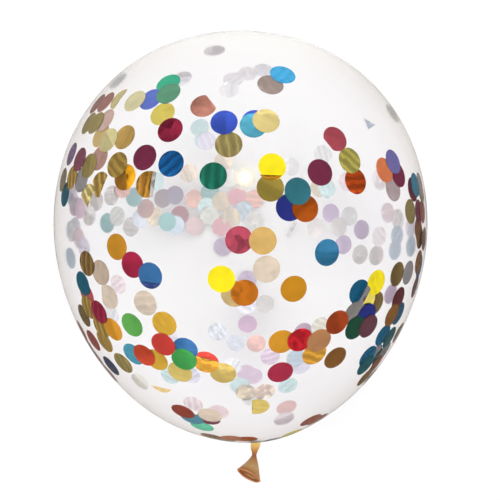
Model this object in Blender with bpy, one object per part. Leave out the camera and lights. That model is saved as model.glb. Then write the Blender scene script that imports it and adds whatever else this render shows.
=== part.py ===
"""A round party balloon of clear latex, blown up, twisted shut and lying on its side.

The balloon's long axis runs along Y, the crown at +Y and the neck at -Y. It rests on a small flat
spot under its girth, and the origin is the middle of that spot, on the floor.
"""

import math

import bmesh
import bpy
import numpy as np

# Driving sizes of the blown-up body, in metres.
GIRTH_DIAMETER = 0.305
CROWN_LENGTH = 0.1575
TAIL_LENGTH = 0.1785
FLAT_SPOT_DIAMETER = 0.048

# Fullness is the power of the outline's curve: 2 is an ellipse, and more is squarer.
CROWN_FULLNESS = 2.1
TAIL_FULLNESS = 1.9

# The neck, from the tail to the tight twist that shuts the balloon. It isn't quite on the body's
# axis, and the offset's sharpness says how close to the neck the tail starts to lean over to it.
NECK_OFFSET = 0.0105
OFFSET_SHARPNESS = 5.4
NECK_DIAMETER = 0.0080
NECK_LENGTH = 0.0135
NECK_FILLET = 0.0030
NECK_SWING = math.radians(-8)
TWIST_DIAMETER = 0.0034
TWIST_TURNS = 0.75

# The loose funnel past the twist, pressed flat, and the rolled bead round its mouth. Its walls
# touch along the gathered length, and the mouth is open from there on.
GATHERED_LENGTH = 0.0060
MOUTH_DEPTH = 0.0105
FUNNEL_SWING = math.radians(-17)
FUNNEL_RISE = math.radians(25)
FUNNEL_WALL = 0.0006
MOUTH_WIDTH = 0.0200
MOUTH_HEIGHT = 0.0095
MOUTH_SWING = math.radians(-31)
BEAD_DIAMETER = 0.0020

# Gathers in the latex, deepest at the twist.
PLEATS = 6
PLEAT_DEPTH = 0.16
MOUTH_PLEAT_DEPTH = 0.02

# How finely the surface is divided.
RING_POINTS = 60
CROWN_RINGS = 18
TAIL_RINGS = 20
NECK_RINGS = 10
FUNNEL_RINGS = 9
BEAD_RINGS = 6
HOLLOW_RINGS = 5

GIRTH_RADIUS = GIRTH_DIAMETER / 2
AXIS_HEIGHT = math.sqrt(GIRTH_RADIUS**2 - (FLAT_SPOT_DIAMETER / 2) ** 2)
FUNNEL_LENGTH = GATHERED_LENGTH + MOUTH_DEPTH
X_AXIS = np.array([1.0, 0.0, 0.0])
Z_AXIS = np.array([0.0, 0.0, 1.0])


def clear_scene():
    """Removes every object, so that the script gives the same result in any file."""
    for old in list(bpy.data.objects):
        bpy.data.objects.remove(old, do_unlink=True)


def ease(share):
    """0 to 1 with a level start and end."""
    share = min(max(share, 0.0), 1.0)
    return share * share * (3 - 2 * share)


def direction(swing, rise):
    """The unit vector that leaves -Y by swing towards +X and by rise towards +Z."""
    return np.array(
        [math.sin(swing) * math.cos(rise), -math.cos(swing) * math.cos(rise), math.sin(rise)]
    )


def ring(centre, across, up, half_width, half_height, pleat_depth=0.0, twist=0.0):
    """The points of one oval cross-section, with its pleats turned by twist."""
    angle = np.linspace(0, 2 * math.pi, RING_POINTS, endpoint=False)
    swell = 1 + pleat_depth * np.cos(PLEATS * angle + twist)
    wide = np.outer(half_width * swell * np.cos(angle), across)
    high = np.outer(half_height * swell * np.sin(angle), up)
    return np.asarray(centre) + wide + high


def body_rings():
    """Rings from near the crown to the neck's root. The outline is a superellipse of either end."""
    rings = []
    root_radius = NECK_DIAMETER / 2 + NECK_FILLET
    last_turn = math.acos((root_radius / GIRTH_RADIUS) ** (TAIL_FULLNESS / 2))
    turns = [math.radians(90) * (1 - i / CROWN_RINGS) for i in range(1, CROWN_RINGS)]
    turns += [-last_turn * i / TAIL_RINGS for i in range(TAIL_RINGS + 1)]
    for turn in turns:
        length, fullness = (CROWN_LENGTH, CROWN_FULLNESS) if turn > 0 else (TAIL_LENGTH, TAIL_FULLNESS)
        radius = GIRTH_RADIUS * math.cos(turn) ** (2 / fullness)
        along = math.copysign(length * abs(math.sin(turn)) ** (2 / fullness), turn)
        slide = 0.0
        if turn < 0:
            nearness = (GIRTH_RADIUS - radius) / (GIRTH_RADIUS - root_radius)
            slide = NECK_OFFSET * nearness**OFFSET_SHARPNESS
        rings.append(ring([slide, along, AXIS_HEIGHT], X_AXIS, Z_AXIS, radius, radius))
    return rings, np.mean(rings[-1], axis=0)


def neck_rings(root):
    """Rings down the neck: a fillet off the tail, a short bulb and the taper into the twist."""
    rings = []
    way = direction(NECK_SWING, 0.0)
    for i in range(1, NECK_RINGS + 1):
        share = i / NECK_RINGS
        narrowing = ease((share - 0.35) / 0.65)
        radius = (NECK_DIAMETER * (1 - narrowing) + TWIST_DIAMETER * narrowing) / 2
        radius += NECK_FILLET * max(0.0, 1 - share / 0.3) ** 2
        centre = root + way * NECK_LENGTH * share
        twist = 2 * math.pi * TWIST_TURNS * narrowing
        rings.append(ring(centre, X_AXIS, Z_AXIS, radius, radius, PLEAT_DEPTH * narrowing, twist))
    return rings, root + way * NECK_LENGTH


def mouth_axes():
    """The mouth's wide way, its narrow way and the way that it faces."""
    facing = direction(MOUTH_SWING, FUNNEL_RISE)
    across = np.array([math.cos(MOUTH_SWING), math.sin(MOUTH_SWING), 0.0])
    return across, np.cross(facing, across), facing


def funnel_ring(twist_point, share, inset):
    """One ring of the funnel, from share 0 at the twist to 1 at the mouth, drawn in by inset."""
    across, up, _ = mouth_axes()
    spread = share**1.15
    wide_way = X_AXIS * (1 - ease(share)) + across * ease(share)
    high_way = Z_AXIS * (1 - ease(share)) + up * ease(share)
    half_width = (TWIST_DIAMETER * (1 - spread) + MOUTH_WIDTH * spread) / 2 - inset
    half_height = (TWIST_DIAMETER * (1 - spread) + MOUTH_HEIGHT * spread) / 2 - inset
    pleat_depth = PLEAT_DEPTH * (1 - spread) + MOUTH_PLEAT_DEPTH * spread
    centre = twist_point + direction(FUNNEL_SWING, FUNNEL_RISE) * FUNNEL_LENGTH * share
    return ring(
        centre,
        wide_way / np.linalg.norm(wide_way),
        high_way / np.linalg.norm(high_way),
        half_width,
        half_height,
        pleat_depth,
        2 * math.pi * TWIST_TURNS,
    )


def funnel_rings(twist_point):
    """Rings down the funnel's outside, round its bead, and back up the hollow inside it."""
    outside = [funnel_ring(twist_point, (i + 1) / FUNNEL_RINGS, 0.0) for i in range(FUNNEL_RINGS)]
    middle = funnel_ring(twist_point, 1.0, FUNNEL_WALL / 2)
    centre = middle.mean(axis=0)
    _, _, facing = mouth_axes()
    outward = middle - centre
    outward /= np.linalg.norm(outward, axis=1)[:, None]
    bead = []
    for i in range(BEAD_RINGS):
        turn = math.radians(-30 + 240 * i / (BEAD_RINGS - 1))
        push = BEAD_DIAMETER / 2 * (math.cos(turn) * outward + math.sin(turn) * facing)
        bead.append(middle + facing * BEAD_DIAMETER / 2 + push)
    deepest = GATHERED_LENGTH / FUNNEL_LENGTH
    inside = [
        funnel_ring(twist_point, 1 + (deepest - 1) * i / (HOLLOW_RINGS - 1), FUNNEL_WALL)
        for i in range(HOLLOW_RINGS)
    ]
    return outside, bead, inside


def skin(rings, name):
    """A closed mesh through the rings in turn, with a point at either end."""
    crown = np.array([0.0, CROWN_LENGTH, AXIS_HEIGHT])
    hollow_end = rings[-1].mean(axis=0)
    bm = bmesh.new()
    loops = [[bm.verts.new(point) for point in points] for points in rings]
    ends = bm.verts.new(crown), bm.verts.new(hollow_end)
    for near, far in zip(loops, loops[1:]):
        for i in range(RING_POINTS):
            j = (i + 1) % RING_POINTS
            bm.faces.new((near[i], near[j], far[j], far[i]))
    for end, loop in zip(ends, (loops[0], loops[-1])):
        for i in range(RING_POINTS):
            bm.faces.new((end, loop[i], loop[(i + 1) % RING_POINTS]))
    bmesh.ops.recalc_face_normals(bm, faces=bm.faces)
    press_flat(bm)
    mesh = bpy.data.meshes.new(name)
    bm.to_mesh(mesh)
    bm.free()
    return mesh


def press_flat(bm):
    """Cuts the body off level with the floor, which gives the flat spot that it rests on."""
    everything = bm.verts[:] + bm.edges[:] + bm.faces[:]
    cut = bmesh.ops.bisect_plane(
        bm, geom=everything, plane_co=(0, 0, 0), plane_no=(0, 0, 1), clear_inner=True, dist=1e-6
    )
    rim = [part for part in cut["geom_cut"] if isinstance(part, bmesh.types.BMEdge)]
    for face in bm.faces:
        face.smooth = True
    for edge in rim:
        edge.smooth = False
    bmesh.ops.contextual_create(bm, geom=rim)
    bmesh.ops.recalc_face_normals(bm, faces=bm.faces)


def latex():
    """Natural latex: clear where it is stretched, and smooth."""
    material = bpy.data.materials.new("clear_latex")
    material.use_nodes = True
    shader = material.node_tree.nodes["Principled BSDF"]
    shader.inputs["Base Color"].default_value = (0.86, 0.85, 0.83, 1.0)
    shader.inputs["Roughness"].default_value = 0.15
    shader.inputs["Metallic"].default_value = 0.0
    shader.inputs["Alpha"].default_value = 0.3
    return material


def build_balloon():
    """The whole balloon as one piece of latex: body, neck, twist and funnel."""
    body, root = body_rings()
    neck, twist_point = neck_rings(root)
    outside, bead, inside = funnel_rings(twist_point)
    mesh = skin(body + neck + outside + bead + inside, "balloon")
    mesh.materials.append(latex())
    balloon = bpy.data.objects.new("balloon", mesh)
    bpy.context.scene.collection.objects.link(balloon)
    return balloon


clear_scene()
build_balloon()
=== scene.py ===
# %% [markdown]
# # A confetti balloon, lying on its side
#
# The real thing is a round latex balloon, blown up until its skin is clear, with foil discs shut
# in. Some discs cling to the wall nearest to us and look bright and crisp. The others cling to
# the far wall, and the milky film pales them. This lesson builds the film, the tan neck and the
# discs as surfaces worked out with numpy, and lights them as a white studio would.

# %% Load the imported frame
import math

import bpy
import mathutils
import numpy as np
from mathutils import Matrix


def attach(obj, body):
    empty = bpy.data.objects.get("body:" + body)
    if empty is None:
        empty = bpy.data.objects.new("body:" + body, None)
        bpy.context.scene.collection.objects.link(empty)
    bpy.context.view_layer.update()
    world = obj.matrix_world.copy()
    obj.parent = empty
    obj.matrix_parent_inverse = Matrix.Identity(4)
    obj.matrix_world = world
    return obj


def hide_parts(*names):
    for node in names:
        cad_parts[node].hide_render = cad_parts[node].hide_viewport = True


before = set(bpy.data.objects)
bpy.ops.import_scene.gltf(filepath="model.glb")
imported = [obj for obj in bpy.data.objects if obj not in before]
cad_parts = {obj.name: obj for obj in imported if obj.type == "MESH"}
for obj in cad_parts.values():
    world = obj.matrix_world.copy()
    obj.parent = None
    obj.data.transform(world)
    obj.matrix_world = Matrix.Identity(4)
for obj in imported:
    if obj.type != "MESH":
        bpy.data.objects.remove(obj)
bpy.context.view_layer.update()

# %% [markdown]
# ## Sizes
#
# Everything is in metres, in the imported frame. The balloon's long axis is Y, the crown is at +Y
# and the neck at -Y. The outline is two half superellipses that meet at the girth: a power of 2
# is a plain ellipse, and a higher power is fuller. These are the sizes of the balloon itself, so
# the film lies just where its solid does.

# %% The balloon's sizes
GIRTH_RADIUS = 0.1525
CROWN_LENGTH = 0.1575
TAIL_LENGTH = 0.1785
CROWN_FULLNESS = 2.1
TAIL_FULLNESS = 1.9
FLAT_SPOT_RADIUS = 0.024
AXIS_HEIGHT = math.sqrt(GIRTH_RADIUS**2 - FLAT_SPOT_RADIUS**2)
NECK_OFFSET = 0.0105
OFFSET_SHARPNESS = 5.4
ROOT_RADIUS = 0.0070

print(f"axis {AXIS_HEIGHT * 1000:.1f} mm above the floor")

# %% [markdown]
# ## Camera
#
# The photograph looks straight at the side of the balloon, so with the balloon lying down the
# camera looks straight down. How much smaller the far discs look than the near ones gives the
# distance, about 4.7 radii, and the width in the picture then gives the lens.

# %% The camera, looking down
PICTURE_WIDTH = 500
FOCAL_PIXELS = 855.0
CAMERA_DISTANCE = 0.7137
CAMERA_ROLL = math.radians(-0.7)
GIRTH_CENTRE_PIXEL = (241.0, 226.0)
SENSOR_WIDTH = 36.0

off_centre = np.array([
    PICTURE_WIDTH / 2 - GIRTH_CENTRE_PIXEL[0],
    GIRTH_CENTRE_PIXEL[1] - PICTURE_WIDTH / 2,
])
off_centre *= CAMERA_DISTANCE / FOCAL_PIXELS
camera_right = np.array([math.cos(CAMERA_ROLL), math.sin(CAMERA_ROLL), 0.0])
camera_up = np.array([-math.sin(CAMERA_ROLL), math.cos(CAMERA_ROLL), 0.0])
eye = off_centre[0] * camera_right + off_centre[1] * camera_up
eye[2] = AXIS_HEIGHT + CAMERA_DISTANCE

camera_data = bpy.data.cameras.new("camera")
camera_data.sensor_width = SENSOR_WIDTH
camera_data.lens = FOCAL_PIXELS / PICTURE_WIDTH * SENSOR_WIDTH
camera = bpy.data.objects.new("camera", camera_data)
camera.location = eye
camera.rotation_euler = (0.0, 0.0, CAMERA_ROLL)
bpy.context.scene.collection.objects.link(camera)
bpy.context.scene.camera = camera
print("camera at", np.round(eye, 4), "with a lens of", round(camera_data.lens, 1), "mm")

# %% [markdown]
# ## Helpers for meshes and materials
#
# A grid of points becomes a mesh in one go. A material is built by adding one node at a time,
# with its settings and its links.

# %% Mesh helpers
def grid_faces(rings, points):
    """Quads between neighbouring rings, each ring closed on itself: i to i + 1, and j to j + 1."""
    ring = np.arange(rings - 1)[:, None]
    point = np.arange(points)[None, :]
    after = (point + 1) % points
    corners = [
        ring * points + point,
        ring * points + after,
        (ring + 1) * points + after,
        (ring + 1) * points + point,
    ]
    return np.stack(corners, axis=-1).reshape(-1, 4)


def closed_faces(rings, points):
    """The grid's quads, then a fan at the first ring and one at the last.

    The fans meet at two points that come after the grid's own: the first ring's, then the last's.
    """
    point = np.arange(points)
    after = (point + 1) % points
    start = rings * points
    base = start - points
    first_fan = np.stack([np.full(points, start), after, point], axis=-1)
    last_fan = np.stack([np.full(points, start + 1), base + point, base + after], axis=-1)
    return grid_faces(rings, points).tolist() + first_fan.tolist() + last_fan.tolist()


def new_piece(name, points, faces, material):
    """An object at the origin with these points, in metres, and these faces."""
    mesh = bpy.data.meshes.new(name)
    mesh.from_pydata(points.tolist(), [], [list(face) for face in faces])
    mesh.polygons.foreach_set("use_smooth", [True] * len(mesh.polygons))
    mesh.materials.append(material)
    piece = bpy.data.objects.new(name, mesh)
    bpy.context.scene.collection.objects.link(piece)
    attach(piece, "root")
    print(f"{name}: {len(points)} points, {len(faces)} faces")
    return piece


# %% Material helpers
def linear(hex_colour):
    """sRGB hex to linear: (c / 12.92) below 0.04045, and ((c + 0.055) / 1.055) ** 2.4 above it."""
    channels = [int(hex_colour[i : i + 2], 16) / 255 for i in (1, 3, 5)]
    return tuple(c / 12.92 if c <= 0.04045 else ((c + 0.055) / 1.055) ** 2.4 for c in channels) + (1.0,)


def fill_ramp(ramp, tones):
    """Sets a colour ramp's stops from pairs of a position and an sRGB hex colour."""
    while len(ramp.elements) < len(tones):
        ramp.elements.new(0.5)
    for element, (position, colour) in zip(ramp.elements, tones):
        element.position, element.color = position, linear(colour)


def new_material(name):
    """An empty material with its output node."""
    material = bpy.data.materials.new(name)
    material.use_nodes = True
    material.node_tree.nodes.clear()
    return material, material.node_tree.nodes.new("ShaderNodeOutputMaterial")


def add(tree, kind, links=None, values=None, **settings):
    """Adds one node. A setting named for a socket sets it, any other sets the node's property."""
    node = tree.nodes.new(kind)
    for socket, value in (values or {}).items():
        node.inputs[socket].default_value = value
    for key, value in settings.items():
        label = key.replace("_", " ")
        if label in node.inputs:
            node.inputs[label].default_value = value
        else:
            setattr(node, key, value)
    for socket, source in (links or {}).items():
        tree.links.new(source, node.inputs[socket])
    return node


# %% [markdown]
# ## Film
#
# The latex is stretched to a few hundredths of a millimetre. Looking straight through it takes almost
# nothing off. Near the outline we look along it, through much more latex, and it greys; part of that grey
# is painted shade, for the darker studio that the film shows near its outline.
# The film also scatters a little, which blurs and pales whatever isn't touching it.
#
# Glass with latex's own index of about 1.5 would make a solid lens of the closed body. So the film is a
# rough glass that hardly bends light, and its roughness gives the blur. White mixed into the film would
# pale every disc alike. A faint white haze that fills the inside pales the far ones: it soaks up light and
# glows just as much, a painted glow that stands in for the light that the milky film scatters, and it is
# thin enough that a disc against the near wall keeps its full colour.
#
# The shine is a thin coat over the film. A higher index than latex has, with less weight, mirrors
# the flash just as brightly, and lays less white over the discs near the outline.

# %% The film's material
FILM_ROUGHNESS = 0.27
FILM_INDEX = 1.012
COAT_WEIGHT = 0.04
COAT_ROUGHNESS = 0.08
COAT_INDEX = 2.0
HAZE_DENSITY = 1.4
HAZE_COLOUR = linear("#FDFCFF")
CROWN_TINT = linear("#FEFDFB")
CROWN_TINT_START = 0.10
CROWN_TINT_END = 0.157
CROWN_TINT_MOST = 0.9

# From looking straight through it, at 0, to looking along it, at 1. The grey towards 1 is partly the
# latex's absorption and partly painted shade.
FILM_TINTS_AND_PAINTED_SHADE = [
    (0.00, "#FFFFFF"),
    (0.35, "#FAF9FA"),
    (0.60, "#F0EDED"),
    (0.80, "#E1DDDA"),
    (0.92, "#D8D3CF"),
    (1.00, "#C0BAB4"),
]

latex_film, output = new_material("stretched_clear_latex")
tree = latex_film.node_tree
facing = add(tree, "ShaderNodeLayerWeight", Blend=0.5)
tint_and_painted_shade = add(tree, "ShaderNodeValToRGB", links={"Fac": facing.outputs["Facing"]})
fill_ramp(tint_and_painted_shade.color_ramp, FILM_TINTS_AND_PAINTED_SHADE)
# In the photograph the crown's rim stays pale and warm, so the grey fades out towards it.
where = add(tree, "ShaderNodeTexCoord")
height = add(tree, "ShaderNodeSeparateXYZ", links={"Vector": where.outputs["Object"]})
crown = add(
    tree,
    "ShaderNodeMapRange",
    links={"Value": height.outputs["Y"]},
    From_Min=CROWN_TINT_START,
    From_Max=CROWN_TINT_END,
    To_Max=CROWN_TINT_MOST,
    interpolation_type="SMOOTHSTEP",
)
pale = add(tree, "ShaderNodeMix", data_type="RGBA")
# A mix of colours has its two colours at sockets 6 and 7.
tree.links.new(crown.outputs[0], pale.inputs["Factor"])
tree.links.new(tint_and_painted_shade.outputs["Color"], pale.inputs[6])
pale.inputs[7].default_value = CROWN_TINT
film = add(
    tree,
    "ShaderNodeBsdfPrincipled",
    links={"Base Color": pale.outputs[2]},
    Roughness=FILM_ROUGHNESS,
    IOR=FILM_INDEX,
    Transmission_Weight=1.0,
    Coat_Weight=COAT_WEIGHT,
    Coat_Roughness=COAT_ROUGHNESS,
    Coat_IOR=COAT_INDEX,
)
painted_haze_glow = add(tree, "ShaderNodeEmission", Color=HAZE_COLOUR, Strength=HAZE_DENSITY)
soak = add(tree, "ShaderNodeVolumeAbsorption", Color=(0.0, 0.0, 0.0, 1.0), Density=HAZE_DENSITY)
haze = add(tree, "ShaderNodeAddShader", links={0: painted_haze_glow.outputs[0], 1: soak.outputs[0]})
tree.links.new(film.outputs[0], output.inputs["Surface"])
tree.links.new(haze.outputs[0], output.inputs["Volume"])
print("haze keeps", round(math.exp(-HAZE_DENSITY * 2 * GIRTH_RADIUS), 2), "of the far wall's light")

# %% [markdown]
# ## Body
#
# Air presses the latex into one smooth form, round at the crown and drawn out towards the neck.
# It could be a sphere that is scaled and sculpted, or an outline that is spun. A formula puts it
# just on its solid, and the discs can then find the wall by the same formula.
#
# The body is a ring of radius r(t) set at y(t), for t from the crown to the neck's root. With
# L the length and p the power of that end, r = R * cos(t) ** (2 / p) and
# y = L * sin(t) ** (2 / p). Near the neck the rings slide over, because the neck isn't on the axis.

# %% The body's surface
BODY_RINGS = 96
BODY_POINTS = 144
FIRST_TURN = math.radians(89.4)


def body_profile(turn):
    """Radius, place along Y and slide along X for t in radians, above 0 towards the crown."""
    crown = turn > 0
    length = np.where(crown, CROWN_LENGTH, TAIL_LENGTH)
    power = 2 / np.where(crown, CROWN_FULLNESS, TAIL_FULLNESS)
    radius = GIRTH_RADIUS * np.abs(np.cos(turn)) ** power
    along = np.sign(turn) * length * np.abs(np.sin(turn)) ** power
    nearness = np.clip((GIRTH_RADIUS - radius) / (GIRTH_RADIUS - ROOT_RADIUS), 0, 1)
    slide = np.where(crown, 0.0, NECK_OFFSET * nearness**OFFSET_SHARPNESS)
    return radius, along, slide


def make_body():
    """Rings at even steps of t, flattened where they would pass through the floor."""
    last = -math.acos((ROOT_RADIUS / GIRTH_RADIUS) ** (TAIL_FULLNESS / 2))
    turn = np.linspace(FIRST_TURN, last, BODY_RINGS)
    radius, along, slide = body_profile(turn)
    angle = np.linspace(0, 2 * math.pi, BODY_POINTS, endpoint=False)
    x = slide[:, None] + radius[:, None] * np.cos(angle)
    y = np.repeat(along[:, None], BODY_POINTS, axis=1)
    z = AXIS_HEIGHT + radius[:, None] * np.sin(angle)
    points = np.stack([x, y, np.maximum(z, 0.0)], axis=-1).reshape(-1, 3)
    crown = [[0.0, CROWN_LENGTH, AXIS_HEIGHT]]
    root = [[slide[-1], along[-1], AXIS_HEIGHT]]
    return np.vstack([points, crown, root]), closed_faces(BODY_RINGS, BODY_POINTS), np.array(root[0])


body_points, body_faces, neck_root = make_body()
body = new_piece("film_body", body_points, body_faces, latex_film)
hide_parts("balloon")

# %% [markdown]
# ## Neck
#
# Past the root the latex was never stretched, so it is thick, tan and cloudy. It narrows into the
# twist that holds the air in, and opens again into a loose funnel with a rolled bead. A cloth
# simulation could gather it. Rings carried along a line follow the solid's own neck instead, and
# their pleats, a cosine round each ring, are deepest at the twist.

# %% The neck's shape
RING_POINTS = 96
PLEATS = 6
PLEAT_DEPTH = 0.16
MOUTH_PLEAT_DEPTH = 0.02
NECK_DIAMETER = 0.0080
NECK_LENGTH = 0.0135
NECK_FILLET = 0.0030
TWIST_DIAMETER = 0.0034
TWIST_PHASE = 2 * math.pi * 0.75
GATHERED_LENGTH = 0.0060
MOUTH_DEPTH = 0.0100
FUNNEL_LENGTH = GATHERED_LENGTH + MOUTH_DEPTH
FUNNEL_WALL = 0.0006
MOUTH_WIDTH = 0.0200
MOUTH_HEIGHT = 0.0095
BEAD_RADIUS = 0.0010
NECK_SWING = -8
FUNNEL_SWING, FUNNEL_RISE = -17, 25
MOUTH_SWING, MOUTH_RISE = -31, 48


def direction(swing_degrees, rise_degrees):
    """The unit vector that leaves -Y by swing towards +X and by rise towards +Z."""
    swing, rise = math.radians(swing_degrees), math.radians(rise_degrees)
    level = math.cos(rise)
    return np.array([math.sin(swing) * level, -math.cos(swing) * level, math.sin(rise)])


def ease(share):
    """0 to 1 with a level start and end: s * s * (3 - 2 * s)."""
    share = np.clip(share, 0, 1)
    return share * share * (3 - 2 * share)


def oval_ring(centre, across, up, half_width, half_height, pleat_depth, phase):
    """centre + cos(a) * width * across + sin(a) * height * up, swelled by the pleats' cosine."""
    angle = np.linspace(0, 2 * math.pi, RING_POINTS, endpoint=False)
    swell = 1 + pleat_depth * np.cos(PLEATS * angle + phase)
    across, up = across / np.linalg.norm(across), up / np.linalg.norm(up)
    wide = np.outer(half_width * swell * np.cos(angle), across)
    high = np.outer(half_height * swell * np.sin(angle), up)
    return centre + wide + high


x_axis = np.array([1.0, 0.0, 0.0])
z_axis = np.array([0.0, 0.0, 1.0])
neck_way = direction(NECK_SWING, 0)
funnel_way = direction(FUNNEL_SWING, FUNNEL_RISE)
mouth_way = direction(MOUTH_SWING, MOUTH_RISE)
mouth_across = np.array([math.cos(math.radians(MOUTH_SWING)), math.sin(math.radians(MOUTH_SWING)), 0.0])
mouth_up = np.cross(mouth_way, mouth_across)
twist_point = neck_root + neck_way * NECK_LENGTH
print("twist at", np.round(twist_point * 1000, 1), "mm")


def neck_ring(share):
    """The neck's ring at share 0 at the root to 1 at the twist."""
    narrowing = ease((share - 0.35) / 0.65)
    radius = (NECK_DIAMETER * (1 - narrowing) + TWIST_DIAMETER * narrowing) / 2
    radius += NECK_FILLET * max(0.0, 1 - share / 0.3) ** 2
    centre = neck_root + neck_way * NECK_LENGTH * share
    pleat_depth, phase = PLEAT_DEPTH * narrowing, TWIST_PHASE * narrowing
    return oval_ring(centre, x_axis, z_axis, radius, radius, pleat_depth, phase)


def funnel_ring(share, inset):
    """The funnel's ring at share 0 at the twist to 1 at the mouth, drawn in by inset."""
    spread, turned = share**1.15, ease(share)
    half_width = (TWIST_DIAMETER * (1 - spread) + MOUTH_WIDTH * spread) / 2 - inset
    half_height = (TWIST_DIAMETER * (1 - spread) + MOUTH_HEIGHT * spread) / 2 - inset
    across = x_axis * (1 - turned) + mouth_across * turned
    up = z_axis * (1 - turned) + mouth_up * turned
    pleat_depth = PLEAT_DEPTH * (1 - spread) + MOUTH_PLEAT_DEPTH * spread
    centre = twist_point + funnel_way * FUNNEL_LENGTH * share
    return oval_ring(centre, across, up, half_width, half_height, pleat_depth, TWIST_PHASE)


def bead_ring(turn):
    """The rolled bead: the mouth's middle line moved by cos(turn) outwards and sin(turn) forwards."""
    middle = funnel_ring(1.0, FUNNEL_WALL / 2)
    outward = middle - middle.mean(axis=0)
    outward /= np.linalg.norm(outward, axis=1)[:, None]
    forward = mouth_way * BEAD_RADIUS * (1 + math.sin(turn))
    return middle + forward + outward * BEAD_RADIUS * math.cos(turn)


# %% Build the neck
NECK_RINGS = 30
FUNNEL_RINGS = 28
BEAD_RINGS = 16
HOLLOW_RINGS = 14
HOLLOW_END = GATHERED_LENGTH / FUNNEL_LENGTH

neck_rings = [neck_ring(share) for share in np.linspace(0, 1, NECK_RINGS)]
neck_rings += [funnel_ring(share, 0.0) for share in np.linspace(0, 1, FUNNEL_RINGS)[1:]]
neck_rings += [bead_ring(turn) for turn in np.radians(np.linspace(-60, 240, BEAD_RINGS))]
neck_rings += [funnel_ring(share, FUNNEL_WALL) for share in np.linspace(1, HOLLOW_END, HOLLOW_RINGS)]
# 0 at the root, 0.45 at the twist, 0.9 at the bead and 1 at the end of the hollow.
how_far = np.concatenate([
    np.linspace(0, 0.45, NECK_RINGS),
    np.linspace(0.45, 0.9, FUNNEL_RINGS)[1:],
    np.linspace(0.9, 0.95, BEAD_RINGS),
    np.linspace(0.95, 1.0, HOLLOW_RINGS),
])
first_middle = neck_rings[0].mean(axis=0)[None]
last_middle = neck_rings[-1].mean(axis=0)[None]
neck_points = np.vstack(neck_rings + [first_middle, last_middle])
neck_faces = closed_faces(len(neck_rings), RING_POINTS)
print(len(neck_rings), "rings from the root to the end of the hollow")

# %% [markdown]
# ## Neck latex
#
# Unstretched latex is the colour of caramel. It is palest where it starts to stretch, and almost
# brown in the twist, where many layers lie on each other. The tones could be painted on an
# unwrapped surface, but a ramp needs only one number at each point: how far along the neck it is.
# Dimples about 3 mm across keep the shine from looking like plastic.

# %% The neck's material
DIMPLES_PER_METRE = 320.0
DIMPLE_DEPTH = 0.0004
NECK_TONES_AND_PAINTED_LIGHT = [
    (0.00, "#E6CB72"),
    (0.15, "#E0B45C"),
    (0.30, "#BC782E"),
    (0.44, "#96501C"),
    (0.55, "#A8763E"),
    (0.72, "#B48E58"),
    (0.84, "#AA7A44"),
    (0.90, "#A4682E"),
    # Into the hollow, towards 1, the tan is painted lighter the deeper it goes: painted light that lifts
    # the shade inside the mouth.
    (1.00, "#C47C3C"),
]

neck_latex, output = new_material("unstretched_tan_latex")
tree = neck_latex.node_tree
along = add(tree, "ShaderNodeAttribute", attribute_name="how_far")
tone = add(tree, "ShaderNodeValToRGB", links={"Fac": along.outputs["Fac"]})
fill_ramp(tone.color_ramp, NECK_TONES_AND_PAINTED_LIGHT)
where = add(tree, "ShaderNodeTexCoord")
cloud = add(
    tree,
    "ShaderNodeTexNoise",
    links={"Vector": where.outputs["Object"]},
    Scale=DIMPLES_PER_METRE,
    Detail=3.0,
)
dimple = add(
    tree,
    "ShaderNodeBump",
    links={"Height": cloud.outputs["Fac"]},
    Strength=0.25,
    Distance=DIMPLE_DEPTH,
)
skin = add(
    tree,
    "ShaderNodeBsdfPrincipled",
    links={"Base Color": tone.outputs["Color"], "Normal": dimple.outputs["Normal"]},
    Roughness=0.38,
    IOR=1.52,
)
tree.links.new(skin.outputs[0], output.inputs["Surface"])

neck = new_piece("neck_and_mouth", neck_points, neck_faces, neck_latex)
shares = neck.data.attributes.new("how_far", "FLOAT", "POINT")
shares.data.foreach_set("value", np.concatenate([np.repeat(how_far, RING_POINTS), [0.0, 1.0]]))

# %% [markdown]
# ## Confetti
#
# The discs are punched from metallised film: a plastic foil with a thin coat of aluminium and a
# coloured lacquer. They cling to the wall by static, so each one lies on the wall. Geometry nodes
# could scatter them at random, but the real ones lie in clusters with bare film between them. So
# each has its own place, read from the photograph: the disc goes where the line of sight through
# that place in the picture meets the wall.

# %% Where a line of sight meets the wall
SIGHT_STEPS = 4000
TRIES = 41
LEAST_PULL = 0.9
NORMAL_STEP = 1e-4


def reach(points):
    """Distance from the axis over the wall's radius there: 1 on the wall, and under 1 inside."""
    y = points[..., 1]
    crown = y > 0
    length = np.where(crown, CROWN_LENGTH, TAIL_LENGTH)
    power = np.where(crown, CROWN_FULLNESS, TAIL_FULLNESS)
    share = np.clip(1 - np.abs(y / length) ** power, 1e-9, None) ** (1 / power)
    radius = GIRTH_RADIUS * share
    nearness = np.clip((GIRTH_RADIUS - radius) / (GIRTH_RADIUS - ROOT_RADIUS), 0, 1)
    slide = np.where(crown, 0.0, NECK_OFFSET * nearness**OFFSET_SHARPNESS)
    away = np.hypot(points[..., 0] - slide, points[..., 2] - AXIS_HEIGHT)
    return away / radius


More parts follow.
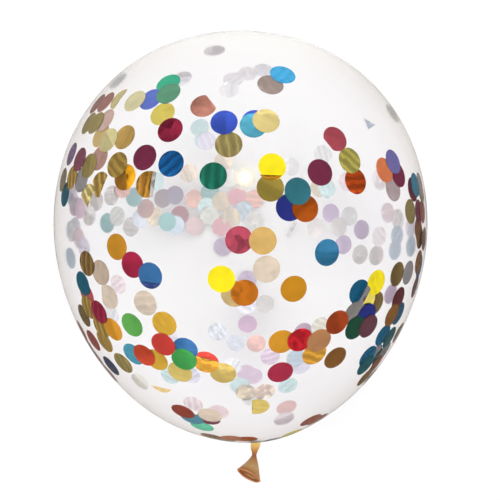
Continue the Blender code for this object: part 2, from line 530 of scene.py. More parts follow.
def wall_places(pixels, far):
    """The points of the near or the far wall behind these places in the picture.

    A place just past the outline is pulled towards the middle until its line meets the wall.
    """
    pixels = np.asarray(pixels, dtype=float)
    centre = np.array(GIRTH_CENTRE_PIXEL)
    found = np.full((len(pixels), 3), np.nan)
    heights = np.linspace(AXIS_HEIGHT * 2 + 0.001, 0.0, SIGHT_STEPS)
    for pull in np.linspace(1.0, LEAST_PULL, TRIES):
        todo = np.isnan(found[:, 0])
        if not todo.any():
            break
        seen = centre + (pixels[todo] - centre) * pull
        sideways = (seen[:, 0] - PICTURE_WIDTH / 2) / FOCAL_PIXELS
        upways = (PICTURE_WIDTH / 2 - seen[:, 1]) / FOCAL_PIXELS
        ray = sideways[:, None] * camera_right + upways[:, None] * camera_up - z_axis
        along_ray = eye + ray[:, None, :] * (eye[2] - heights)[None, :, None]
        inside = reach(along_ray) < 1
        hit = inside.any(axis=1)
        if far:
            index = inside.shape[1] - 1 - inside[:, ::-1].argmax(axis=1)
        else:
            index = inside.argmax(axis=1)
        rows = np.flatnonzero(todo)[hit]
        found[rows] = along_ray[hit, index[hit]]
    return found


def wall_normals(places):
    """The outward normal: how the reach grows along X, Y and Z, made a unit vector."""
    steps = NORMAL_STEP * np.eye(3)
    grown = [reach(places + step) - reach(places - step) for step in steps]
    normal = np.stack(grown, axis=-1)
    return normal / np.linalg.norm(normal, axis=-1)[:, None]


# %% [markdown]
# Each entry is a place in the picture and the disc's foil. Where discs overlap, the one that touches the
# film comes first. After the foil may come what happened to that disc: fluted by the roll that it was cut
# from, streaked, which is the same but stronger, creased once, or crumpled. Each of these also paints light
# and shade into its lacquer: painted highlight streaks on flutes, a painted lighter and darker side at a
# crease, and painted lighter and darker facets where it is crumpled.
# A number is the angle across its flutes or its crease, in degrees. A pair is a straight fold: the
# way that it faces, in degrees from the picture's right towards its top, and how far out it lies,
# as a share of the radius.

# %% The discs against the near wall
NEAR_TOP_LEFT = [
    (105.3, 101.8, "dusty_copper"), (96.8, 103.3, "dusty_copper"),
    (119.3, 98.7, "straw", (-40, 0.15)), (134.1, 100.2, "pale_gold"), (168.0, 93.0, "sea_green"),
    (150.0, 98.4, "periwinkle"), (167.6, 82.3, "mint"), (169.9, 129.6, "deep_crimson", "crumpled"),
    (162.2, 113.5, "lemon_gold"), (95.4, 122.6, "tan_olive"),
    (88.0, 122.9, "tan_olive", "creased", 20), (104.8, 119.7, "dusty_blush"),
    (107.7, 139.9, "straw", "creased", 30), (99.9, 135.2, "tan_gold"),
    (124.0, 136.8, "gold", "creased", 150), (71.1, 153.9, "dusty_purple"),
    (79.2, 159.3, "dusty_plum"), (88.2, 165.6, "olive", "creased", 0), (98.3, 157.8, "dusty_rose"),
    (62.6, 179.6, "grey_olive"), (71.2, 177.2, "brass", "fluted", 0), (80.4, 179.6, "silver"),
    (64.1, 194.3, "teal_blue"),
    (86.9, 196.4, "straw_gold", "streaked", 35, (-140, 0.62), (-35, 0.46)),
    (98.8, 184.2, "brass", "streaked", 10, (-30, 0.45), (-165, 0.75)),
    # The lighter and the darker amber here are two halves of one disc: painted light and painted shade.
    (116.8, 164.6, "brass", "fluted", 40), (124.4, 177.0, "painted_lit_amber", (185, -0.1)),
    (124.2, 177.0, "painted_shade_amber", 5), (144.2, 157.2, "plum"),
    (147.4, 184.2, "ochre", "fluted", -8, (-8, 0.25)), (149.0, 184.0, "clear_edge", (-8, 0.45)),
    (170.7, 163.4, "deep_blue", "fluted", -55),
]
NEAR_TOP = [
    (203.4, 105.5, "copper", "creased", 35, (32, 0.66)), (224.0, 122.0, "royal_blue", "creased", 0),
    (228.6, 144.1, "olive_gold", "fluted", 10), (266.3, 120.4, "straw_gold", "creased", 60),
    (253.4, 125.0, "pale_teal"), (255.4, 121.2, "royal_blue", (0, 0.6)), (282.9, 74.2, "sky_blue"),
    (270.6, 84.1, "taupe"), (213.0, 175.7, "emerald", "fluted", 0),
    (270.9, 166.5, "dark_amber", (90, -0.62)), (272.4, 166.3, "yellow"), (298.0, 191.0, "teal"),
    (270.6, 187.6, "khaki_gold", "creased", 60), (305.7, 208.3, "burnt_orange"),
    (289.7, 207.3, "navy"), (320.4, 172.2, "plum"), (335.4, 138.6, "dusty_red", (-135, 0.85)),
    (350.3, 160.1, "lime_gold", "fluted", 60), (356.3, 180.8, "burnt_red", "fluted", 100),
    (393.6, 161.5, "purple"), (385.2, 169.8, "salmon"), (399.5, 174.6, "plum"),
    (394.3, 188.5, "mauve_taupe"),
]
# Many discs along this outline carry dark lacquers, brown, ochre, maroon and dark teal among them: painted
# shade, added to the darker studio that the foil mirrors here.
NEAR_RIGHT = [
    (415.8, 184.7, "steel_teal"), (413.4, 189.4, "painted_shade_maroon"), (420.5, 184.0, "taupe"),
    (422.0, 191.5, "grey_olive"), (423.6, 211.4, "brick"), (411.0, 211.4, "khaki"),
    (420.0, 211.4, "plum"), (424.4, 239.0, "brown"), (420.0, 228.0, "brown"),
    (421.5, 237.0, "brown"), (419.0, 262.0, "brown", "fluted", 0), (420.0, 267.0, "navy"),
    (408.6, 272.8, "silver"), (398.0, 274.4, "dark_olive", "creased", 0), (416.0, 286.6, "painted_shade_maroon"),
    (392.3, 315.6, "brown"), (399.0, 299.0, "painted_shade_maroon"), (399.3, 314.0, "ocean_blue"),
    (398.6, 333.0, "ochre"), (389.8, 337.6, "painted_shade_teal"), (383.6, 335.6, "ocean_blue"),
    (365.6, 377.4, "ochre", "fluted", 60), (371.4, 378.0, "ochre"), (376.4, 364.6, "burnt_orange"),
    (366.0, 365.6, "painted_shade_teal"), (368.4, 356.4, "ocean_blue"), (384.6, 352.8, "silver"),
    (380.4, 356.8, "painted_shade_teal"), (375.6, 355.4, "silver"),
]
NEAR_MIDDLE = [
    (239.1, 240.0, "rose", "crumpled"), (263.0, 240.9, "sand"), (266.6, 269.3, "champagne"),
    (221.3, 279.3, "yellow"), (244.5, 293.2, "orange", "crumpled"), (234.6, 294.2, "tan_gold"),
    (294.0, 289.1, "warm_amber"), (327.4, 252.6, "sea_blue"), (368.9, 326.6, "dark_plum"),
    (355.8, 328.4, "dark_green"), (367.4, 316.0, "navy"), (337.6, 322.6, "rust", "creased", 20),
    (355.4, 314.4, "warm_silver"), (360.6, 292.6, "ocean_blue", "creased", 145, (-35, 0.4)),
    (363.0, 297.6, "silver", (-35, 0.5)), (377.9, 283.0, "yellow"), (367.6, 301.0, "pale_yellow"),
    (376.8, 304.4, "dark_olive", "creased", 0), (319.5, 341.0, "copper_tan"),
    (300.6, 340.6, "scarlet", "crumpled"), (282.0, 342.5, "amber"),
    (315.0, 354.6, "orange_honey", "fluted", 60), (335.7, 358.2, "brown"),
    (280.5, 372.8, "raspberry"),
]
NEAR_LEFT = [
    # The dark indigo sliver along the lower edge of the steel-blue disc is a painted reflection.
    (149.6, 275.9, "painted_reflection_indigo", (90, -0.52)), (149.7, 275.8, "steel_blue"),
    (131.7, 265.0, "crimson", "creased", 100), (115.7, 247.0, "amber"),
    (86.3, 263.6, "brown_brass", "streaked", 0), (99.9, 272.8, "dim_champagne"),
    (82.3, 283.6, "teal_blue"), (107.8, 297.3, "champagne", (180, 0.75)),
    (98.5, 312.3, "deep_crimson", "fluted", 0), (87.6, 307.6, "brass", "fluted", 10),
    (86.0, 295.2, "dusty_red"), (83.2, 316.0, "dark_olive", "fluted", 0),
    (112.5, 329.8, "amber", "creased", 20), (100.2, 327.6, "brass", "fluted", 20),
    (103.6, 342.2, "brass", "fluted", 40), (92.9, 340.7, "brick"), (81.6, 330.8, "brick"),
    (88.4, 348.0, "brick"), (96.6, 358.6, "brick"), (110.6, 366.2, "slate_blue"),
    (109.0, 374.0, "brick"), (122.7, 363.4, "olive", "fluted", 30), (131.4, 325.2, "leaf_green"),
    (144.9, 303.4, "champagne"), (162.9, 344.8, "coral_red"), (163.9, 324.1, "honey"),
    (183.6, 360.0, "green"), (184.8, 349.6, "steel_blue"), (143.8, 355.6, "tomato", "creased", -60),
    (132.9, 354.7, "pale_teal"), (156.0, 360.4, "honey"),
    (159.4, 384.2, "pale_amber", (100, -0.42)),
]
NEAR_BOTTOM = [
    (205.5, 363.0, "orange_honey", (78, 0.35)), (205.5, 363.2, "coral_red"),
    (222.9, 374.5, "matte_gold"), (179.5, 372.8, "sand_gold"),
    (257.0, 407.5, "sand_gold", (180, 0.4)), (311.0, 420.6, "rust_brown"),
    # Four discs on this outline carry lighter copies of yellow, copper, orange and brown: painted light.
    (318.0, 420.0, "rust_brown"), (292.6, 433.4, "painted_lit_yellow"), (232.0, 438.8, "painted_lit_copper"),
    (246.0, 439.8, "painted_lit_orange"), (182.7, 412.0, "brick"), (209.8, 415.8, "champagne"),
    (191.6, 419.0, "slate_teal"), (208.0, 419.6, "dusty_plum"), (201.8, 427.4, "bright_mint"),
    (211.6, 437.0, "painted_lit_brown"), (224.0, 440.4, "tan_olive"), (272.0, 440.8, "silver"),
]
near_discs = NEAR_TOP_LEFT + NEAR_TOP + NEAR_RIGHT + NEAR_MIDDLE + NEAR_LEFT + NEAR_BOTTOM
print(len(near_discs), "discs against the near wall")

# %% The discs against the far wall
FAR_TOP = [
    (214.8, 53.9, "ghost_lilac"), (183.0, 81.0, "ghost_lilac"), (247.8, 76.2, "ghost"),
    (233.3, 81.8, "ghost"), (229.0, 92.0, "ghost"), (263.4, 73.0, "ghost_blue"),
    (120.5, 83.5, "ghost_blue"), (200.6, 129.3, "pale_aqua"), (204.5, 141.2, "pale_aqua"),
    (207.0, 142.4, "pale_lilac"), (321.6, 155.3, "pearl"), (289.6, 167.6, "pearl"),
    (366.4, 125.2, "ice_blue", (95, 0.25), (-140, 0.45), (-30, 0.45)),
    (389.6, 115.4, "straw_ghost"), (376.6, 180.8, "ghost_pink"), (345.0, 182.7, "pearl_pink"),
    (317.7, 188.5, "beige"), (325.4, 189.4, "pale_aqua"),
    (189.7, 174.0, "faded_sand", "creased", 20), (224.0, 162.0, "faded_sand", "creased", 30),
    (229.4, 178.6, "pearl"), (245.2, 178.2, "faded_yellow"),
]
FAR_LEFT = [
    (113.9, 195.9, "mist"), (99.1, 201.5, "mist"), (92.0, 215.6, "warm_mist"),
    (109.8, 223.0, "aqua"), (119.3, 216.4, "sage"), (132.9, 226.7, "mist"),
    (142.4, 218.4, "pale_slate"), (156.4, 216.8, "beige"), (147.3, 208.8, "dull_rose"),
    (135.7, 197.4, "aqua"), (124.8, 188.9, "faded_salmon"), (157.0, 182.4, "pale_aqua"),
    (164.2, 198.8, "grey_lilac"), (175.8, 195.6, "deep_lilac"), (195.2, 199.4, "faded_salmon"),
    (210.3, 193.0, "aqua"), (207.3, 207.4, "pale_aqua"), (221.4, 201.6, "beige"),
    (237.1, 197.6, "soft_pink"), (254.3, 199.6, "faded_salmon"), (243.9, 210.8, "ice_blue"),
    (253.5, 221.2, "warm_mist"), (231.2, 217.2, "beige", "creased", 0), (221.6, 226.8, "soft_pink"),
    (223.4, 246.4, "lilac"), (196.0, 226.2, "rose_grey"), (181.0, 215.4, "mauve"),
    (176.6, 225.0, "ice_blue"), (168.2, 221.8, "aqua"), (209.6, 215.6, "sage"),
    (78.0, 206.0, "orchid_grey"), (75.6, 196.0, "pale_lilac"), (78.4, 227.6, "pale_slate"),
    (74.3, 231.0, "ghost_blue"), (81.8, 238.0, "pale_rose"), (86.4, 247.0, "pale_lilac"),
    (74.0, 257.6, "ice_blue"), (82.8, 208.6, "orchid_grey"),
]
FAR_RIGHT = [
    (329.2, 213.4, "lilac"), (347.4, 216.2, "warm_mist", "creased", 0), (336.9, 226.7, "mist"),
    (314.9, 227.7, "mist"), (359.4, 229.6, "lilac"), (341.7, 244.4, "lilac"),
    (357.9, 254.0, "mist"), (373.7, 255.0, "mist"), (376.6, 236.3, "ghost_pink"),
    (384.9, 213.0, "pale_rose"), (395.0, 219.4, "pearl"), (394.4, 235.4, "ice_blue"),
    (392.6, 249.4, "ice_blue"), (407.6, 227.4, "pale_lilac"), (407.8, 245.8, "ice_blue"),
    (292.8, 230.5, "mist", (-30, -0.1), (150, 0.5)), (387.6, 292.8, "lilac"),
    # The last six lie on the outline, and their dark lacquers are painted shade as well.
    (424.0, 200.0, "brown"), (426.0, 215.0, "painted_shade_maroon"), (427.2, 228.0, "brick"),
    (426.4, 252.0, "brown"), (424.6, 268.0, "painted_shade_maroon"), (422.4, 281.0, "brown"),
]
FAR_BOTTOM = [
    (247.2, 279.0, "lilac"), (246.0, 303.6, "pale_lilac"), (264.4, 302.8, "mist"),
    (218.0, 330.0, "cool_mist"), (236.2, 341.0, "cool_mist"), (256.0, 341.8, "blush"),
    (247.4, 322.4, "orchid"), (269.6, 354.6, "orchid_grey"), (302.0, 330.0, "orchid"),
    (318.6, 324.6, "cream"), (246.0, 370.6, "orchid_grey"), (252.4, 374.0, "orchid_grey"),
    (240.0, 383.4, "pale_aqua"), (252.0, 395.6, "pearl"), (300.0, 363.6, "pale_lilac"),
    (295.0, 356.0, "ice_blue"), (286.8, 383.0, "pale_aqua"), (232.0, 364.4, "ghost"),
    (245.4, 390.0, "beige", "crumpled"), (264.6, 389.4, "peach", "crumpled"),
    (285.6, 404.6, "pearl_blush"), (283.2, 416.0, "ghost_pink"), (120.4, 283.4, "pearl_pink"),
    (194.0, 401.0, "pearl_pink"), (219.0, 409.0, "pearl_pink"), (170.4, 333.6, "pale_lilac"),
    (113.4, 312.4, "ghost_blue"), (171.6, 373.4, "pale_aqua"), (142.0, 379.0, "ghost_yellow"),
    (191.6, 372.8, "pale_lilac"),
]
far_discs = FAR_TOP + FAR_LEFT + FAR_RIGHT + FAR_BOTTOM
print(len(far_discs), "discs against the far wall")

# %% Foil colours
# Some lacquers here are painted light or shade, not the foil's own colour: lighter copies of yellow,
# copper, orange and brown for discs on the bottom outline are painted light; a lighter and a darker amber,
# the two halves of one disc, are painted light and painted shade; an indigo band on one disc's edge is a
# painted reflection; and the dark lacquers of many discs near the outline, maroon and dark teal among them,
# are painted shade.
FOILS = {
    "gold": {
        "pale_gold": "#DAD2A8",
        "straw": "#CFC490",
        "straw_gold": "#B6A66C",
        "sand": "#DBB36C",
        "sand_gold": "#E0C872",
        "lemon_gold": "#E8D468",
        "tan_gold": "#C9AE78",
        "gold": "#C8A45C",
        "honey": "#DCAE3E",
        "orange_honey": "#DEA23C",
        "amber": "#D6962C",
        "warm_amber": "#C0841E",
        "matte_gold": "#D4B868",
        "painted_shade_amber": "#8E6020",
        "painted_lit_amber": "#E6A41C",
        "painted_lit_yellow": "#FFF030",
        "faded_sand": "#EAD7BD",
        "faded_yellow": "#F7EECD",
        "dark_amber": "#A87418",
        "pale_amber": "#F4D292",
        "yellow": "#F7E220",
        "pale_yellow": "#F2DE68",
    },
    "brown": {
        "brass": "#9C8040",
        "ochre": "#7E581C",
        "dark_olive": "#6E5A34",
        "olive": "#948450",
        "olive_gold": "#8E8050",
        "lime_gold": "#A39A4C",
        "khaki": "#85784E",
        "khaki_gold": "#958238",
        "tan_olive": "#A29464",
        "grey_olive": "#8A8264",
        "brown": "#80562A",
        "brown_brass": "#80643A",
        "taupe": "#B09E94",
        "mauve_taupe": "#A8989A",
        "painted_lit_brown": "#A87848",
        "copper_tan": "#C28A5C",
    },
    "red": {
        "copper": "#AC7464",
        "dusty_copper": "#AC8076",
        "painted_lit_copper": "#D88A54",
        "painted_lit_orange": "#E88848",
        "dull_rose": "#9F716A",
        "blush": "#DDA498",
        "dusty_rose": "#B28C80",
        "dusty_red": "#B04E58",
        "dusty_blush": "#D0B4A8",
        "rose": "#B84C60",
        "deep_crimson": "#86223A",
        "crimson": "#AA2846",
        "raspberry": "#BA3650",
        "scarlet": "#C4222C",
        "coral_red": "#D4463C",
        "tomato": "#C84A30",
        "rust_brown": "#A45A3C",
        "brick": "#964636",
        "painted_shade_maroon": "#5E2A2E",
        "salmon": "#D97C50",
        "faded_salmon": "#E4A898",
        "orange": "#BA6A1A",
        "burnt_orange": "#843C06",
        "burnt_red": "#A03E12",
        "rust": "#AA4620",
    },
    "purple": {
        "plum": "#702A42",
        "dark_plum": "#603A44",
        "dusty_plum": "#7E4A58",
        "purple": "#6F6AA2",
        "dusty_purple": "#80688A",
        "mauve": "#8A3048",
        "orchid": "#A87EA0",
        "orchid_grey": "#E0C4DC",
        "deep_lilac": "#7F7090",
        "grey_lilac": "#76666C",
        "lilac": "#A88EB0",
        "pale_lilac": "#DCD8EA",
    },
    "blue": {
        "navy": "#262E7A",
        "painted_reflection_indigo": "#34467C",
        "royal_blue": "#3248A0",
        "periwinkle": "#6A7ED2",
        "deep_blue": "#124A7C",
        "ocean_blue": "#165878",
        "steel_blue": "#3A6CA0",
        "slate_blue": "#3C4460",
        "sky_blue": "#50B6E8",
        "sea_blue": "#286080",
        "ice_blue": "#B8CCDC",
        "pale_slate": "#D6DDE6",
    },
    "green": {
        "teal": "#306C78",
        "teal_blue": "#1E5A6C",
        "steel_teal": "#3C7C98",
        "painted_shade_teal": "#1C5A60",
        "slate_teal": "#5A94A4",
        "pale_teal": "#4C98AE",
        "aqua": "#62A4A2",
        "pale_aqua": "#C4E2E2",
        "mint": "#48BC94",
        "bright_mint": "#78E6BA",
        "sea_green": "#6CA886",
        "emerald": "#1A6450",
        "dark_green": "#1E4A36",
        "green": "#46A250",
        "leaf_green": "#6AB85A",
    },
    "silver": {
        "dim_champagne": "#C0AC98",
        "champagne": "#E0CFBB",
        "silver": "#8C888A",
        "warm_silver": "#8E8984",
        "cool_mist": "#B6BAC4",
        "mist": "#C8C2BE",
        "warm_mist": "#D6D4D1",
        "sage": "#D0D3CA",
        "beige": "#D2C0A1",
        "cream": "#EDE6CD",
        "peach": "#F7D6C0",
        "rose_grey": "#C4A5A6",
        "soft_pink": "#DC929F",
        "pale_rose": "#EDDCE2",
        "pearl": "#E7E6E5",
        "pearl_pink": "#F7E3E6",
        "pearl_blush": "#F4CDC8",
        "clear_edge": "#8E8A84",
        "straw_ghost": "#EFEDE4",
        "ghost": "#FCFCFC",
        "ghost_pink": "#FBF0F2",
        "ghost_blue": "#F0F5FA",
        "ghost_lilac": "#F0EEF6",
        "ghost_yellow": "#FBF7E6",
    },
}
family_of = {foil: family for family, foils in FOILS.items() for foil in foils}
colour_of = {foil: colour for foils in FOILS.values() for foil, colour in foils.items()}
print(len(colour_of), "foils in", len(FOILS), "families")

# %% [markdown]
# ## Foil
#
# Foil mirrors the studio in the colour of its lacquer, so it is a metal. A material for each
# colour would mean over a hundred, all alike. Instead one serves every disc: each disc carries its
# own lacquer as an attribute, and three amounts that say how fluted, creased and crumpled it is.
#
# Each amount does two things. It bends the surface, which moves the reflections, and it paints light and
# shade into the lacquer: a painted highlight on the ridges and painted shade in the hollows, where bent
# foil would catch more and less light. The bends are too fine to be in the mesh, so they are a height that
# only tilts the surface.

# %% The foil's material
FLUTE_SPACING = 0.0060
FLUTE_WANDER = 4.0
DARKEST_PAINTED_SHADE = -0.3
CREASE_PLACE = 0.0015
DENTS_PER_METRE = 160.0
DENT_HEIGHT = 0.3
DENT_PAINTED_LIGHT = 0.3
PLAIN_TONE = 0.85
FACETS_PER_METRE = 190.0
FOIL_ROUGHNESS = 0.24

lacquered_foil, output = new_material("lacquered_foil")
tree = lacquered_foil.node_tree
where = add(tree, "ShaderNodeTexCoord")
disc = add(tree, "ShaderNodeUVMap", uv_map="disc")
lacquer = add(tree, "ShaderNodeAttribute", attribute_name="lacquer")
flute = add(tree, "ShaderNodeAttribute", attribute_name="flute")
crease = add(tree, "ShaderNodeAttribute", attribute_name="crease")
crumple = add(tree, "ShaderNodeAttribute", attribute_name="crumple")
across = add(tree, "ShaderNodeSeparateXYZ", links={"Vector": disc.outputs["UV"]})

# %% Flutes: a sine for the bend, and its cube for the painted highlight streaks on the ridges and the painted shade in the hollows
uneven = add(
    tree,
    "ShaderNodeTexNoise",
    links={"Vector": where.outputs["Object"]},
    Scale=DENTS_PER_METRE,
    Detail=1.0,
)
shift = add(
    tree, "ShaderNodeMath", links={0: uneven.outputs["Fac"]}, values={1: FLUTE_WANDER}, operation="MULTIPLY"
)
phase = add(
    tree,
    "ShaderNodeMath",
    links={0: across.outputs["X"], 2: shift.outputs[0]},
    values={1: 2 * math.pi / FLUTE_SPACING},
    operation="MULTIPLY_ADD",
)
wave = add(tree, "ShaderNodeMath", links={0: phase.outputs[0]}, operation="SINE")
square = add(
    tree, "ShaderNodeMath", links={0: wave.outputs[0], 1: wave.outputs[0]}, operation="MULTIPLY"
)
cube = add(
    tree, "ShaderNodeMath", links={0: square.outputs[0], 1: wave.outputs[0]}, operation="MULTIPLY"
)
painted_ridge_light = add(
    tree, "ShaderNodeMath", links={0: cube.outputs[0]}, values={1: DARKEST_PAINTED_SHADE}, operation="MAXIMUM"
)

# %% A crease: the height is the distance from one line, with painted light on the far side of it and painted shade on the near side
from_line = add(
    tree, "ShaderNodeMath", links={0: across.outputs["X"]}, values={1: CREASE_PLACE}, operation="SUBTRACT"
)
valley = add(tree, "ShaderNodeMath", links={0: from_line.outputs[0]}, operation="ABSOLUTE")
side = add(tree, "ShaderNodeMath", links={0: from_line.outputs[0]}, operation="SIGN")

# %% Crumpling: facets about 5 mm across, each painted lighter or darker as painted light and shade
facet = add(
    tree, "ShaderNodeTexVoronoi", links={"Vector": where.outputs["Object"]}, Scale=FACETS_PER_METRE
)
facet_value = add(tree, "ShaderNodeSeparateXYZ", links={"Vector": facet.outputs["Color"]})
painted_facet_light = add(
    tree, "ShaderNodeMath", links={0: facet_value.outputs["X"]}, values={1: 0.5}, operation="SUBTRACT"
)

# %% [markdown]
# The height, in millimetres, is dents 6 mm across and then the three bends. The lacquer's tone is painted
# light and shade: about 1 on plain foil, lighter and darker with the dents, a painted highlight on the
# brighter ridges, and painted shade in the hollows. Each bend and each tone is first scaled by how much of
# it the disc has.

# %% The foil's height and tone
# The amount, the shape of its bend and how high it is, the shape of its painted light and shade and how
# strong it is.
EFFECTS = [
    (flute, wave.outputs[0], 0.12, painted_ridge_light.outputs[0], 0.5),
    (crease, valley.outputs[0], 70.0, side.outputs[0], 0.14),
    (crumple, facet.outputs["Distance"], 0.8, painted_facet_light.outputs[0], 0.8),
]
height = add(
    tree, "ShaderNodeMath", links={0: uneven.outputs["Fac"]}, values={1: DENT_HEIGHT}, operation="MULTIPLY"
)
tone = add(
    tree,
    "ShaderNodeMath",
    links={0: uneven.outputs["Fac"]},
    values={1: DENT_PAINTED_LIGHT, 2: PLAIN_TONE},
    operation="MULTIPLY_ADD",
)
for amount, bend, bend_height, shade, shade_strength in EFFECTS:
    sums = []
    for shape, scale, total in ((bend, bend_height, height), (shade, shade_strength, tone)):
        part = add(
            tree, "ShaderNodeMath", links={0: shape, 1: amount.outputs["Fac"]}, operation="MULTIPLY"
        )
        total = add(
            tree,
            "ShaderNodeMath",
            links={0: part.outputs[0], 2: total.outputs[0]},
            values={1: scale},
            operation="MULTIPLY_ADD",
        )
        sums.append(total)
    height, tone = sums
relief = add(tree, "ShaderNodeBump", links={"Height": height.outputs[0]}, Strength=1.0, Distance=0.001)
shaded = add(
    tree,
    "ShaderNodeVectorMath",
    links={0: lacquer.outputs["Vector"], "Scale": tone.outputs[0]},
    operation="SCALE",
)
foil = add(
    tree,
    "ShaderNodeBsdfPrincipled",
    links={"Base Color": shaded.outputs[0], "Normal": relief.outputs["Normal"]},
    Metallic=1.0,
    Roughness=FOIL_ROUGHNESS,
    Specular_Tint=(0.5, 0.5, 0.5, 1.0),
)
tree.links.new(foil.outputs[0], output.inputs["Surface"])
print(len(tree.nodes), "nodes in the foil")

# %% [markdown]
# Foil is limp and follows the wall. A flat circle that touched it in the middle would stick out
# through the film at its rim. A Shrinkwrap modifier could press each disc onto the film, but a
# formula lays them all at once and keeps their layers apart.
#
# A disc is a small round grid. A point at (a, b) on it lies a * T + b * B along the wall and
# sinks by (a * a + b * b) / 2R, which makes the disc follow the wall. A slight curl along one
# line across it, of depth c * s * s, gives the foil its changing shine. A disc that another one
# presses on curls less.

# %% Disc shape
DISC_RADIUS = 0.00925
FILM_GAP = 0.00018
LAYER_GAP = 0.00020
LOOSE_CURL = 0.0005
PRESSED_CURL = 0.00005
DISC_POINTS = 32
INNER_RING = 0.55

rng = np.random.default_rng(7)
angle = np.linspace(0, 2 * math.pi, DISC_POINTS, endpoint=False)
rim = np.stack([np.cos(angle), np.sin(angle)], axis=-1)
flat_disc = np.vstack([[[0.0, 0.0]], rim * INNER_RING, rim]) * DISC_RADIUS
point = np.arange(DISC_POINTS)
after = (point + 1) % DISC_POINTS
middle_faces = np.stack([np.zeros(DISC_POINTS, int), 1 + point, 1 + after], axis=-1).tolist()
outer_faces = np.stack(
    [1 + point, 1 + DISC_POINTS + point, 1 + DISC_POINTS + after, 1 + after], axis=-1
).tolist()
disc_faces = middle_faces + outer_faces
print(len(disc_faces), "faces in a disc", round(DISC_RADIUS * 2000, 1), "mm across")


def layers(places):
    """0 for a disc on the film, and one more than the deepest earlier disc that it overlaps."""
    depth = np.zeros(len(places), int)
    for i in range(1, len(places)):
        gap = np.linalg.norm(places[:i] - places[i], axis=1)
        under = depth[:i][gap < 2 * DISC_RADIUS]
        if len(under):
            depth[i] = under.max() + 1
    return depth


def fold_edges(a, b, discs):
    """Draws in what lies past a fold: s = a * cos(w) + b * sin(w) becomes at most share * radius."""
    for i, disc in enumerate(discs):
        for way, share in [mark for mark in disc[3:] if isinstance(mark, tuple)]:
            u, v = math.cos(math.radians(way)), math.sin(math.radians(way))
            past = np.maximum(a[i] * u + b[i] * v - share * DISC_RADIUS, 0.0)
            a[i] -= past * u
            b[i] -= past * v
    return a, b


def lay_discs(discs, far):
    """Points of every disc, shape (discs, points, 3), on the wall, and their flat places."""
    places = wall_places([disc[:2] for disc in discs], far)
    normals = wall_normals(places)
    depth = layers(places)
    gaps = np.linalg.norm(places[:, None] - places[None], axis=-1) + np.eye(len(places))
    pressed = gaps.min(axis=1) < 2 * DISC_RADIUS
    across = camera_right - (normals @ camera_right)[:, None] * normals
    across /= np.linalg.norm(across, axis=1)[:, None]
    onward = np.cross(normals, across) * (-1 if far else 1)
    given = [[mark for mark in disc[3:] if isinstance(mark, (int, float))] for disc in discs]
    any_way = rng.uniform(0, 180, len(discs))
    way = np.radians([ways[0] if ways else chance for ways, chance in zip(given, any_way)])[:, None]
    curl = rng.uniform(-0.5, 1.0, len(discs)) * np.where(pressed, PRESSED_CURL, LOOSE_CURL)
    a, b = fold_edges(*[np.tile(flat_disc[None, :, k], (len(discs), 1)) for k in (0, 1)], discs)
    s, t = a * np.cos(way) + b * np.sin(way), b * np.cos(way) - a * np.sin(way)
    sink = FILM_GAP + depth[:, None] * LAYER_GAP + (a**2 + b**2) / (2 * GIRTH_RADIUS)
    sink = sink + curl[:, None] * (s / DISC_RADIUS) ** 2 - np.minimum(curl, 0)[:, None]
    flat = a[..., None] * across[:, None] + b[..., None] * onward[:, None]
    points = places[:, None] + flat - sink[..., None] * normals[:, None]
    points[..., 2] = np.maximum(points[..., 2], FILM_GAP + depth[:, None] * LAYER_GAP)
    return points, np.stack([s, t], axis=-1)


near_points, near_uv = lay_discs(near_discs, far=False)
far_points, far_uv = lay_discs(far_discs, far=True)
all_points = np.concatenate([near_points, far_points])
all_uv = np.concatenate([near_uv, far_uv])
all_foils = np.array([disc[2] for disc in near_discs + far_discs])


def marked(word, amount, otherwise):
    """The amount for each disc that carries the word, and otherwise what every other disc has."""
    return np.where([word in disc[3:] for disc in near_discs + far_discs], amount, otherwise)


is_far = np.arange(len(all_foils)) >= len(near_discs)
# Each amount also sets how much painted light and shade the foil's material puts into that disc's lacquer.
chance = rng.uniform(0, 1, (3, len(all_foils)))
slight_flutes = chance[0] ** 2 * np.where(is_far, 0.5, 0.2)
all_flutes = marked("streaked", 1.6, marked("fluted", 1.0, slight_flutes))
all_creases = marked("creased", 1.0, np.where(is_far & (chance[1] > 0.75), 0.7, 0.0))
all_crumples = marked("crumpled", 1.0, np.where(is_far & (chance[2] > 0.75), 0.35, 0.0))
all_lacquers = np.array([linear(colour_of[foil])[:3] for foil in all_foils])
all_lacquers *= rng.uniform(0.94, 1.06, (len(all_foils), 1))
all_families = np.array([family_of[foil] for foil in all_foils])

# %% One piece per family of colours
for family in FOILS:
    chosen = all_families == family
    count, size = chosen.sum(), all_points.shape[1]
    faces = [[i * size + corner for corner in face] for i in range(count) for face in disc_faces]
    piece = new_piece(family + "_confetti", all_points[chosen].reshape(-1, 3), faces, lacquered_foil)
    corners = np.empty(len(piece.data.loops), int)
    piece.data.loops.foreach_get("vertex_index", corners)
    uv = piece.data.uv_layers.new(name="disc")
    uv.data.foreach_set("uv", all_uv[chosen].reshape(-1, 2)[corners].ravel())
    for label, amounts in (("flute", all_flutes), ("crease", all_creases), ("crumple", all_crumples)):
        attribute = piece.data.attributes.new(label, "FLOAT", "POINT")
        attribute.data.foreach_set("value", np.repeat(amounts[chosen], size))
    attribute = piece.data.attributes.new("lacquer", "FLOAT_VECTOR", "POINT")
    attribute.data.foreach_set("vector", np.repeat(all_lacquers[chosen], size, axis=0).ravel())

# %% [markdown]
# ## Floor and light
#
# The studio is white, a little darker low down. The foil mirrors it, so discs that face the camera shine,
# and those that turn away near the outline go dark; many of those discs also carry darker lacquers, painted
# shade that adds to it. Four softboxes stand round the balloon, and flash heads give the small bright spots
# on the film. A flash head's place is where the film mirrors it to the camera at a place in the picture. A
# picture of a real studio could give all this light too, but a ramp of greys and a few lamps are easier to
# read and to change.

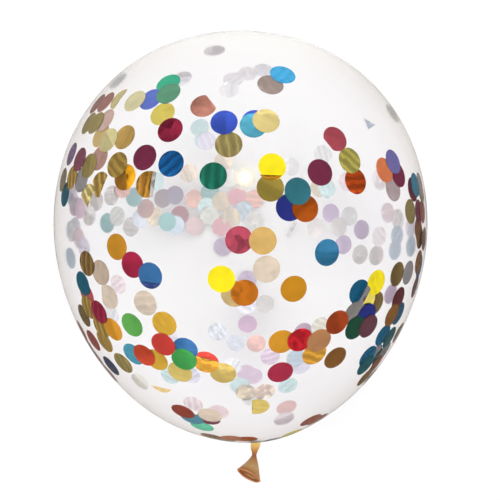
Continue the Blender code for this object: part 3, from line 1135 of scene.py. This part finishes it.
# %% The floor
FLOOR_HALF = 12.0
FLOOR_GAP = 0.0005
PAPER_WHITE = (0.95, 0.95, 0.95, 1.0)

floor_material, output = new_material("white_paper_sweep")
tree = floor_material.node_tree
paper = add(tree, "ShaderNodeBsdfPrincipled", Base_Color=PAPER_WHITE, Roughness=0.9)
tree.links.new(paper.outputs[0], output.inputs["Surface"])
floor_corners = [(x * FLOOR_HALF, y * FLOOR_HALF, 0) for x, y in ((-1, -1), (1, -1), (1, 1), (-1, 1))]
floor_mesh = bpy.data.meshes.new("floor")
floor_mesh.from_pydata(floor_corners, [], [(0, 1, 2, 3)])
floor_mesh.materials.append(floor_material)
floor = bpy.data.objects.new("floor", floor_mesh)
floor.location.z = -FLOOR_GAP
bpy.context.scene.collection.objects.link(floor)
print("paper", 2 * FLOOR_HALF, "m wide")

# %% The studio
# From level with the floor, at 0, to straight overhead, at 1.
SKY_TONES = [
    (0.00, "#F4F4F5"),
    (0.04, "#D8D9DC"),
    (0.12, "#BCBEC2"),
    (0.35, "#E0E0E1"),
    (0.65, "#F0F0F0"),
    (1.00, "#E8E8E8"),
]
SKY_BRIGHTNESS = 1.22

world = bpy.data.worlds.new("studio")
world.use_nodes = True
tree = world.node_tree
tree.nodes.clear()
world_output = tree.nodes.new("ShaderNodeOutputWorld")
where = add(tree, "ShaderNodeTexCoord")
height = add(tree, "ShaderNodeSeparateXYZ", links={"Vector": where.outputs["Generated"]})
sky = add(tree, "ShaderNodeValToRGB", links={"Fac": height.outputs["Z"]})
fill_ramp(sky.color_ramp, SKY_TONES)
light = add(
    tree, "ShaderNodeBackground", links={"Color": sky.outputs["Color"]}, Strength=SKY_BRIGHTNESS
)
tree.links.new(light.outputs[0], world_output.inputs["Surface"])
bpy.context.scene.world = world


def softbox(name, aim_from, width, height, brightness):
    """A flat lamp facing the balloon. Its power is brightness * pi * its area."""
    lamp = bpy.data.lights.new(name, "AREA")
    lamp.shape = "RECTANGLE"
    lamp.size = width
    lamp.size_y = height
    lamp.energy = brightness * math.pi * width * height
    lamp_object = bpy.data.objects.new(name, lamp)
    middle = mathutils.Vector((0.0, 0.0, AXIS_HEIGHT))
    lamp_object.location = mathutils.Vector(aim_from) + middle
    back = lamp_object.location - middle
    lamp_object.rotation_euler = back.to_track_quat("Z", "Y").to_euler()
    bpy.context.scene.collection.objects.link(lamp_object)


softbox("left_softbox", (-1.1, 0.25, 1.0), 0.5, 1.0, 1.4)
softbox("right_softbox", (1.15, -0.1, 0.9), 0.45, 1.1, 1.35)
softbox("top_softbox", (0.1, 1.25, 0.75), 1.1, 0.4, 1.3)
softbox("low_softbox", (-0.3, -1.3, 0.7), 0.9, 0.35, 1.25)


# %% Flash heads
FLASH_DISTANCE = 1.5
FLASH_COLOUR = (1.0, 0.93, 0.78)
GLOW_COLOUR = (1.0, 0.87, 0.38)


def flash_head(name, pixel, width, brightness, colour):
    """A round lamp that the near film mirrors at a place in the picture: r = 2 (n . v) n - v.

    Only mirrors show it: it lights no dull surface, and nothing sees it through the film.
    """
    place = wall_places([pixel], far=False)
    normal = wall_normals(place)[0]
    view = (eye - place[0]) / np.linalg.norm(eye - place[0])
    mirrored = 2 * (normal @ view) * normal - view
    lamp = bpy.data.lights.new(name, "AREA")
    lamp.shape = "DISK"
    lamp.size = width
    lamp.color = colour
    lamp.energy = brightness * math.pi**2 * width**2 / 4
    lamp_object = bpy.data.objects.new(name, lamp)
    lamp_object.location = place[0] + FLASH_DISTANCE * mirrored
    lamp_object.rotation_euler = mathutils.Vector(mirrored).to_track_quat("Z", "Y").to_euler()
    lamp_object.visible_diffuse = False
    lamp_object.visible_transmission = False
    bpy.context.scene.collection.objects.link(lamp_object)


flash_head("key_flash", (244.8, 177.0), 0.17, 170.0, FLASH_COLOUR)
flash_head("key_glow", (244.6, 176.0), 0.44, 26.0, GLOW_COLOUR)
flash_head("left_flash", (226.8, 83.8), 0.07, 72.0, FLASH_COLOUR)
flash_head("right_flash", (291.6, 164.6), 0.06, 72.0, FLASH_COLOUR)
bpy.context.scene.view_settings.view_transform = "Standard"
print(len(bpy.data.lights), "lamps")
